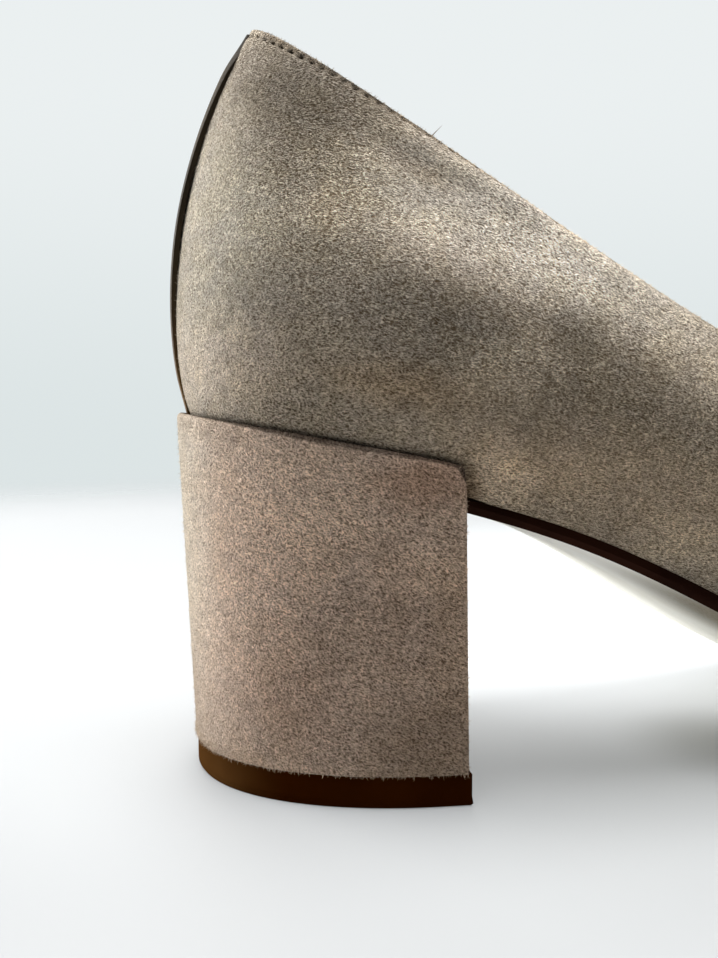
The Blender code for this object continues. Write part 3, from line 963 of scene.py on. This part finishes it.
heelLook = {
    "fibres": 5200.0,
    "pits": (0.112, 0.080, 0.054),
    "tips": (0.775, 0.640, 0.507),
    "warm": (1.02, 0.99, 0.97),
    "cool": (1.00, 0.985, 0.99),
    "mottle": (0.83, 1.17),
    "bump": 1.0,
    "bumpDepth": 0.00035,
    "shade": "rimShade",
    "slant": [patch((20, -20, 24), (60, 60, 60))],
    "upright": [patch((-4, -6, 26), (14, 40, 40))],
    "deep": [],
    "calm": [patch((-4, -6, 26), (12, 40, 50))],
    # painted light and shade: lighter on the left where the light falls, darker low at the front and near
    # the rim at the front
    "paintedLightAndShade": [
        patch((18, -28, 26), (60, 34, 60), (1.12, 1.03, 1.01)),
        patch((6, -16, 36), (12, 40, 26), (1.42, 1.42, 1.44)),
        patch((4, -14, 14), (8, 40, 14), (1.20, 1.21, 1.24)),
        patch((-2, -6, 34), (7, 40, 34), (1.06, 1.16, 1.20)),
        patch((-1, -10, 49), (8, 40, 7), (1.12, 1.15, 1.18)),
        patch((16, -22, 40), (12, 40, 12), (1.20, 1.20, 1.18)),
        patch((31, -26, 8), (16, 40, 14), (0.62, 0.60, 0.57)),
        patch((30, -25, 44.5), (11, 40, 6), (0.82, 0.72, 0.66)),
        patch((34, -25, 24), (6, 40, 20), (0.86, 0.84, 0.80)),
        patch((12, -22, 14), (12, 40, 14), (0.90, 0.86, 0.84)),
        patch((29, -25, 32), (10, 40, 5), (1.22, 1.20, 1.16)),
        patch((27, -25, 23), (9, 40, 13), (0.86, 0.85, 0.84)),
        patch((18, 30, 26), (60, 34, 60), (0.95, 0.98, 1.02)),
    ],
}


def cutAcross(piece, place, normal):
    takeUp(piece)
    setMode("EDIT")
    selectAll("SELECT")
    bpy.ops.mesh.bisect(plane_co=place, plane_no=normal)
    setMode("OBJECT")


def creaseLow(piece, below, crease):
    # only the sharp edges near the floor stay sharp
    pickSharpEdges(piece, degrees=50)
    setMode("OBJECT")
    for edge in piece.data.edges:
        high = max(piece.data.vertices[i].co.z for i in edge.vertices) > below * mm
        edge.select = edge.select and not high
    setMode("EDIT")
    bpy.ops.transform.edge_crease(value=crease)
    setMode("OBJECT")


def shadeAtRim(piece):
    # a painted shadow: a dark line where the heel's cover meets the upper
    away = distances(outsideSearch, places(piece))
    close = 1.0 - smoothStep(away, heelForm["rimNear"], heelForm["rimFar"])
    keepShade(piece, heelLook["shade"], 1.0 - heelForm["rimShade"] * close)


heel = copyNode("heel_block", "suede_heel")
lowerEnd = heelForm["lowerEnd"] * mm
pickFaces(heel, lambda centre, normal: normal.z < heelForm["lowerFacing"] and centre.z < lowerEnd)
bpy.ops.transform.translate(value=(0, 0, -heelForm["closeGap"] * mm))
setMode("OBJECT")
rimTilt = Vector((heelForm["rimFall"], 0.0, 1.0)).normalized()
cutAcross(heel, spot(heelForm["rimStart"], 0, heelForm["rimBack"] - heelForm["hold"]), rimTilt)
cutAcross(heel, spot(0, 0, heelForm["bottom"] + heelForm["hold"]), (0, 0, 1))
cutAcross(heel, spot(heelForm["breast"] - heelForm["hold"], 0, 0), (1, 0, heelForm["breastTilt"]))
creaseLow(heel, heelForm["sharpBelow"], crease=1.0)
roundOff(heel, levels=2)
shadeAtRim(heel)
shadeSmooth(heel, degrees=60)
heel.data.materials.append(suedeMaterial("heelSuede", heelLook))
wearPiece(heel, "heel_suede", "heel_block")


# Top piece: brown rubber under the heel

rubberLook = {"pores": 900.0, "roughness": 0.55, "specular": 0.0, "bump": 0.08, "bumpDepth": 0.0001,
              "dark": (0.027, 0.0058, 0.0003), "light": (0.037, 0.0085, 0.0005),
              # painted light: the rubber lighter and warmer at the back, where light falls from the left
              "paintedLightAndShade": [patch((0, -10, 2.5), (13, 40, 12), (2.3, 4.6, 24.0))]}
rubberForm = {"proud": 0.40, "proudRange": (30.0, 35.0), "flare": 0.25, "flareTop": 1.2,
              "edgeRounding": 0.28}


def pushBreast(piece):
    # the rubber stands a little proud of the suede at the breast and flares at the floor
    points = places(piece)
    share = smoothStep(fromBack(points), *rubberForm["proudRange"])
    low = 1.0 - smoothStep(points[:, 2] / mm, 0.0, rubberForm["flareTop"])
    points[:, 0] += share * (rubberForm["proud"] + low * rubberForm["flare"]) * mm
    setPlaces(piece, points)


rubber = copyNode("top_piece", "heel_rubber")
creaseSharp(rubber, degrees=35, crease=1.0)
roundOff(rubber, levels=2)
bevelSharp(rubber, rubberForm["edgeRounding"] * mm, degrees=40, segments=3)
pushBreast(rubber)
shadeSmooth(rubber, degrees=40)
rubber.data.materials.append(leatherMaterial("brownRubber", rubberLook))
wearPiece(rubber, "brown_rubber", "top_piece")


# Sole: pale polished leather with a dark painted edge

# pale leather, made near white as a painted reflection of the bright floor; the patch is a painted
# reflection, olive-brown under the waist
soleLook = {"pores": 1200.0, "roughness": 0.42, "specular": 0.15, "bump": 0.02, "bumpDepth": 0.00003,
            "dark": (0.88, 0.85, 0.74), "light": (0.93, 0.91, 0.82),
            "paintedLightAndShade": [patch((76, -18, 23), (24, 20, 30), (0.20, 0.16, 0.085))]}
soleEdgeLook = {"pores": 1600.0, "roughness": 0.60, "specular": 0.03, "bump": 0.15, "bumpDepth": 0.00008,
                "dark": (0.014, 0.004, 0.002), "light": (0.026, 0.008, 0.004)}
soleForm = {"closeGap": 0.25, "upperSide": 0.5, "underside": -0.66}

sole = copyNode("outsole", "leather_sole")
pickFaces(sole, lambda centre, normal: normal.z > soleForm["upperSide"])
bpy.ops.transform.translate(value=(0, 0, soleForm["closeGap"] * mm))
setMode("OBJECT")
creaseSharp(sole, degrees=50, crease=1.0)
roundOff(sole, levels=2)
shadeSmooth(sole, degrees=40)
sole.data.materials.append(leatherMaterial("soleLeather", soleLook))
sole.data.materials.append(leatherMaterial("soleEdgePaint", soleEdgeLook))
pickFaces(sole, lambda centre, normal: normal.z > soleForm["underside"])
sole.active_material_index = 1
bpy.ops.object.material_slot_assign()
setMode("OBJECT")
wearPiece(sole, "sole_leather", "outsole")


# Footbed

footbedLook = {"pores": 1100.0, "roughness": 0.45, "specular": 0.4, "bump": 0.25, "bumpDepth": 0.0001,
               "dark": (0.42, 0.32, 0.23), "light": (0.50, 0.39, 0.29)}

footbed = copyNode("insole", "footbed")
creaseSharp(footbed, degrees=50, crease=0.9)
roundOff(footbed, levels=2)
shadeSmooth(footbed, degrees=50)
footbed.data.materials.append(leatherMaterial("footbedLeather", footbedLook))
wearPiece(footbed, "footbed_leather", "insole")


# Fuzz: loose fibres along the cut edges and, thinly, all over the suede

def scatterRoots(piece, count, weigh, chance):
    # random places on the faces, more of them where the weight is high
    piece.data.calc_loop_triangles()
    corners = np.zeros(len(piece.data.loop_triangles) * 3, np.int32)
    piece.data.loop_triangles.foreach_get("vertices", corners)
    points = places(piece)
    a, b, c = (points[corners[side::3]] for side in range(3))
    facing = np.cross(b - a, c - a)
    size = np.linalg.norm(facing, axis=1)
    facing /= np.maximum(size, 1e-15)[:, None]
    share = size * weigh((a + b + c) / 3.0, facing)
    chosen = chance.choice(len(size), count, p=share / share.sum())
    s = chance.random(count)
    t = chance.random(count)
    over = s + t > 1.0
    s[over] = 1.0 - s[over]
    t[over] = 1.0 - t[over]
    a, b, c = a[chosen], b[chosen], c[chosen]
    return a + s[:, None] * (b - a) + t[:, None] * (c - a), facing[chosen]


def unit(vectors):
    return vectors / np.maximum(np.linalg.norm(vectors, axis=1), 1e-12)[:, None]


rootDepth = 0.05  # how far a fibre starts below the surface


def makeFuzz(name, roots, ways, lengths, thick, chance):
    # each fibre is a thin closed spike
    count = len(roots)
    ways = unit(ways)
    side = unit(np.cross(ways, chance.normal(size=(count, 3))))
    other = np.cross(ways, side)
    corners = np.zeros((count, 4, 3))
    for corner in range(3):
        angle = corner * 2.0 * math.pi / 3.0
        outward = math.cos(angle) * side + math.sin(angle) * other
        corners[:, corner] = roots + thick[:, None] * outward - rootDepth * mm * ways
    corners[:, 3] = roots + ways * lengths[:, None]
    faces = np.array([(0, 1, 3), (1, 2, 3), (2, 0, 3), (2, 1, 0)])
    faces = (faces[None] + 4 * np.arange(count)[:, None, None]).reshape(-1, 3)
    mesh = bpy.data.meshes.new(name)
    mesh.from_pydata(corners.reshape(-1, 3).tolist(), [], faces.tolist())
    fuzz = bpy.data.objects.new(name, mesh)
    bpy.context.scene.collection.objects.link(fuzz)
    return fuzz


looseLook = {"pits": (0.42, 0.35, 0.27), "tips": (0.72, 0.62, 0.49), "shade": None, "bump": 0.0}
heelFuzz = {
    "count": 14000,
    "seed": 7,
    "bottomEdge": 9.0,  # weights: how thick the fibres stand
    "bottomTo": 5.9,
    "breastEdge": 8.0,
    "breastFrom": 34.9,
    "breastFacing": 0.85,
    "rim": 0.2,
    "rimFrom": -1.2,
    "facingUp": 0.75,
    "facingDown": -0.5,
    "radius": 0.042,
    "lengths": (0.25, 0.60),
    "lean": (0.25, 0.7),
    "stray": 0.55,
    "hang": 0.5,
    "fringe": 0.14,
    "fringeRange": (5.2, 6.4),
}


def weighHeel(points, facing):
    fuzz = heelFuzz
    weight = np.ones(len(points))
    weight[points[:, 2] / mm < fuzz["bottomTo"]] = fuzz["bottomEdge"]
    atBreast = (fromBack(points) > fuzz["breastFrom"]) & (facing[:, 0] < fuzz["breastFacing"])
    weight[atBreast] = fuzz["breastEdge"]
    weight[rimHeight(points) > fuzz["rimFrom"]] = fuzz["rim"]
    weight[(facing[:, 2] > fuzz["facingUp"]) | (facing[:, 2] < fuzz["facingDown"])] = 0.0
    return weight


def sowFuzz(piece, fuzz, weigh, chance):
    roots, facing = scatterRoots(piece, fuzz["count"], weigh, chance)
    lean = chance.uniform(*fuzz["lean"], len(roots))
    ways = facing * lean[:, None] + chance.normal(0.0, fuzz["stray"], facing.shape)
    return roots, ways, chance.uniform(*fuzz["lengths"], len(roots))


def growHeelFuzz():
    chance = np.random.default_rng(heelFuzz["seed"])
    roots, ways, lengths = sowFuzz(heel, heelFuzz, weighHeel, chance)
    low = 1.0 - smoothStep(roots[:, 2] / mm, *heelFuzz["fringeRange"])
    ways[:, 2] -= heelFuzz["hang"] + heelFuzz["hang"] * low
    lengths += heelFuzz["fringe"] * low
    thick = np.full(len(roots), heelFuzz["radius"] * mm)
    fuzz = makeFuzz("heel_fuzz", roots, ways, lengths * mm, thick, chance)
    fuzz.data.materials.append(suedeMaterial("heelFuzz", {**heelLook, **looseLook}))
    wearPiece(fuzz, "heel_suede")


upperFuzz = {
    "count": 26000,
    "seed": 11,
    "topEdge": 60.0,
    "soleEdge": 8.0,
    "stripEdge": 8.0,
    "topReach": 0.8,
    "soleReach": 1.0,
    "stripTo": 12.0,
    "stripOuter": 5.2,
    "stripInner": 3.2,
    "facingDown": -0.85,
    "inside": 0.35,
    "radius": 0.042,
    "lengths": (0.22, 0.60),
    "lean": (0.2, 0.6),
    "stray": 0.55,
    "sweep": 0.35,
    "looseEnd": (31, -20, 90),
    "looseWay": (0.70, -0.10, 0.70),
    "looseLength": 2.2,
    "looseThick": 2.4,
}


def weighUpper(points, facing):
    fuzz = upperFuzz
    inside = distances(outsideSearch, points) > fuzz["inside"]
    atStrip = fromBack(points) < fuzz["stripTo"]
    aside = np.abs(points[:, 1] - heelAxis) / mm
    weight = np.ones(len(points))
    weight[edgeDistance(points, edgeRun) / mm < fuzz["topReach"]] = fuzz["topEdge"]
    weight[distances(searchTree(sole), points) < fuzz["soleReach"]] = fuzz["soleEdge"]
    weight[atStrip & (aside < fuzz["stripOuter"])] = fuzz["stripEdge"]
    weight[atStrip & (aside < fuzz["stripInner"])] = 0.0
    weight[(facing[:, 2] < fuzz["facingDown"]) | inside] = 0.0
    return weight


def growUpperFuzz():
    chance = np.random.default_rng(upperFuzz["seed"])
    roots, ways, lengths = sowFuzz(upper, upperFuzz, weighUpper, chance)
    ways[:, 0] += upperFuzz["sweep"]
    # one loose thread end stands up from the top line
    away = np.linalg.norm(edgeRun - np.array(spot(*upperFuzz["looseEnd"])), axis=1)
    roots = np.vstack([roots, edgeRun[np.argmin(away)]])
    ways = np.vstack([ways, upperFuzz["looseWay"]])
    lengths = np.append(lengths, upperFuzz["looseLength"])
    thick = np.full(len(roots), upperFuzz["radius"] * mm)
    thick[-1] *= upperFuzz["looseThick"]
    fuzz = makeFuzz("upper_fuzz", roots, ways, lengths * mm, thick, chance)
    fuzz.data.materials.append(suedeMaterial("upperFuzz", {**upperLook, **looseLook}))
    wearPiece(fuzz, "taupe_suede")


growHeelFuzz()
growUpperFuzz()


# Studio: pale floor that fades into a pale backdrop, soft light from the left and above

studio = {
    "floorSize": 3.0,
    "floorFade": (0.36, 0.62),
    "floor": (0.28, 0.287, 0.289),
    "floorRoughness": 0.55,
    "floorGlow": 0.25,  # lifts the shadows under the arch
    # painted light: the floor glows under the arch; the last patch is a painted shadow at the right
    "openLight": [  # light that comes in under the arch from behind
        patch((80, 45, 0), (80, 62, 40), (2.3, 2.3, 2.3)),
        patch((150, 170, 0), (170, 130, 60), (2.0, 2.0, 2.0)),
        patch((86, -8, 0), (22, 22, 20), (0.36, 0.36, 0.35)),
    ],
    "floorShade": [patch((-45, -50, 0), (70, 60, 40), (0.80, 0.80, 0.80))],
    "backdropLow": (0.72, 0.78, 0.785),
    "backdropHigh": (0.83, 0.87, 0.875),
    "backdropRise": (-0.05, 0.30),
    "fill": (0.95, 0.98, 1.0),
    "fillStrength": 0.08,
}

lamps = [  # name, turn, rise, size and power
    ("leftWindow", 150, 8, 0.5, 9.9),
    ("topSoftbox", 200, 86, 0.4, 8.4),
    ("backSoftbox", 90, 45, 0.5, 3.2),
    ("rightSoftbox", 0, 40, 0.5, 2.1),
]
lampAim = (40, 0, 50)
lampDistance = 700


def makeFloor():
    deselectAll()
    bpy.ops.mesh.primitive_plane_add(size=studio["floorSize"], location=(0, 0, 0))
    floor = bpy.context.active_object
    floor.name = "floor"
    dull = {"Roughness": studio["floorRoughness"]}
    material, tree, bsdf, coords = newMaterial("paleFloor", dull)
    paint = tintedBy(tree, (*studio["floor"], 1.0), coords, studio["floorShade"])
    feed(tree, bsdf.inputs["Base Color"], paint)
    # the floor glows though it is no lamp: painted light
    glow = tintedBy(tree, (*studio["fill"], 1.0), coords, studio["openLight"])
    feed(tree, bsdf.inputs["Emission Color"], glow)
    bsdf.inputs["Emission Strength"].default_value = studio["floorGlow"]
    away = vectorMaths(tree, "LENGTH", {0: coords})["Value"]
    fade = ramp(tree, away, *studio["floorFade"])
    clear = addNode(tree, "ShaderNodeBsdfTransparent").outputs[0]
    blend = addNode(tree, "ShaderNodeMixShader", {0: fade, 1: bsdf.outputs[0], 2: clear})
    tree.links.new(blend.outputs[0], tree.nodes["Material Output"].inputs["Surface"])
    floor.data.materials.append(material)


def makeWorld():
    world = bpy.data.worlds.new("studioAir")
    bpy.context.scene.world = world
    world.use_nodes = True
    tree = world.node_tree
    light = tree.nodes["Background"]
    light.inputs["Color"].default_value = (*studio["fill"], 1.0)
    light.inputs["Strength"].default_value = studio["fillStrength"]
    way = addNode(tree, "ShaderNodeTexCoord").outputs["Generated"]
    up = addNode(tree, "ShaderNodeSeparateXYZ", {"Vector": way}).outputs["Z"]
    rise = ramp(tree, up, *studio["backdropRise"])
    shade = mixColour(tree, rise, (*studio["backdropLow"], 1.0), (*studio["backdropHigh"], 1.0))
    backdrop = addNode(tree, "ShaderNodeBackground", {"Color": shade, "Strength": 1.0})
    seen = addNode(tree, "ShaderNodeLightPath").outputs["Is Camera Ray"]
    blend = addNode(tree, "ShaderNodeMixShader", {0: seen, 1: light.outputs[0], 2: backdrop.outputs[0]})
    tree.links.new(blend.outputs[0], tree.nodes["World Output"].inputs["Surface"])


def makeLamp(name, turn, rise, size, power):
    turn = math.radians(turn)
    rise = math.radians(rise)
    away = Vector((math.cos(rise) * math.cos(turn), math.cos(rise) * math.sin(turn), math.sin(rise)))
    deselectAll()
    bpy.ops.object.light_add(type="AREA", location=spot(*lampAim) + away * lampDistance * mm,
                             rotation=away.to_track_quat("Z", "Y").to_euler())
    made = bpy.context.active_object
    made.name = name
    made.data.size = size
    made.data.energy = power
    made.visible_camera = False


view = {"place": (-1.232, -150.392, 54.736), "yaw": 0.174, "pitch": 0.078, "focalPixels": 986.3,
        "photoHeight": 958, "sensor": 36.0, "clipStart": 0.01}


def makeCamera():
    deselectAll()
    turn = (math.pi / 2 - view["pitch"], 0.0, -view["yaw"])
    bpy.ops.object.camera_add(location=spot(*view["place"]), rotation=turn)
    camera = bpy.context.active_object
    camera.data.sensor_width = view["sensor"]
    camera.data.lens = view["focalPixels"] * view["sensor"] / view["photoHeight"]
    camera.data.clip_start = view["clipStart"]
    bpy.context.scene.camera = camera


makeFloor()
makeWorld()
for lamp in lamps:
    makeLamp(*lamp)
makeCamera()
bpy.context.scene.view_settings.view_transform = "Standard"
print("studio ready")
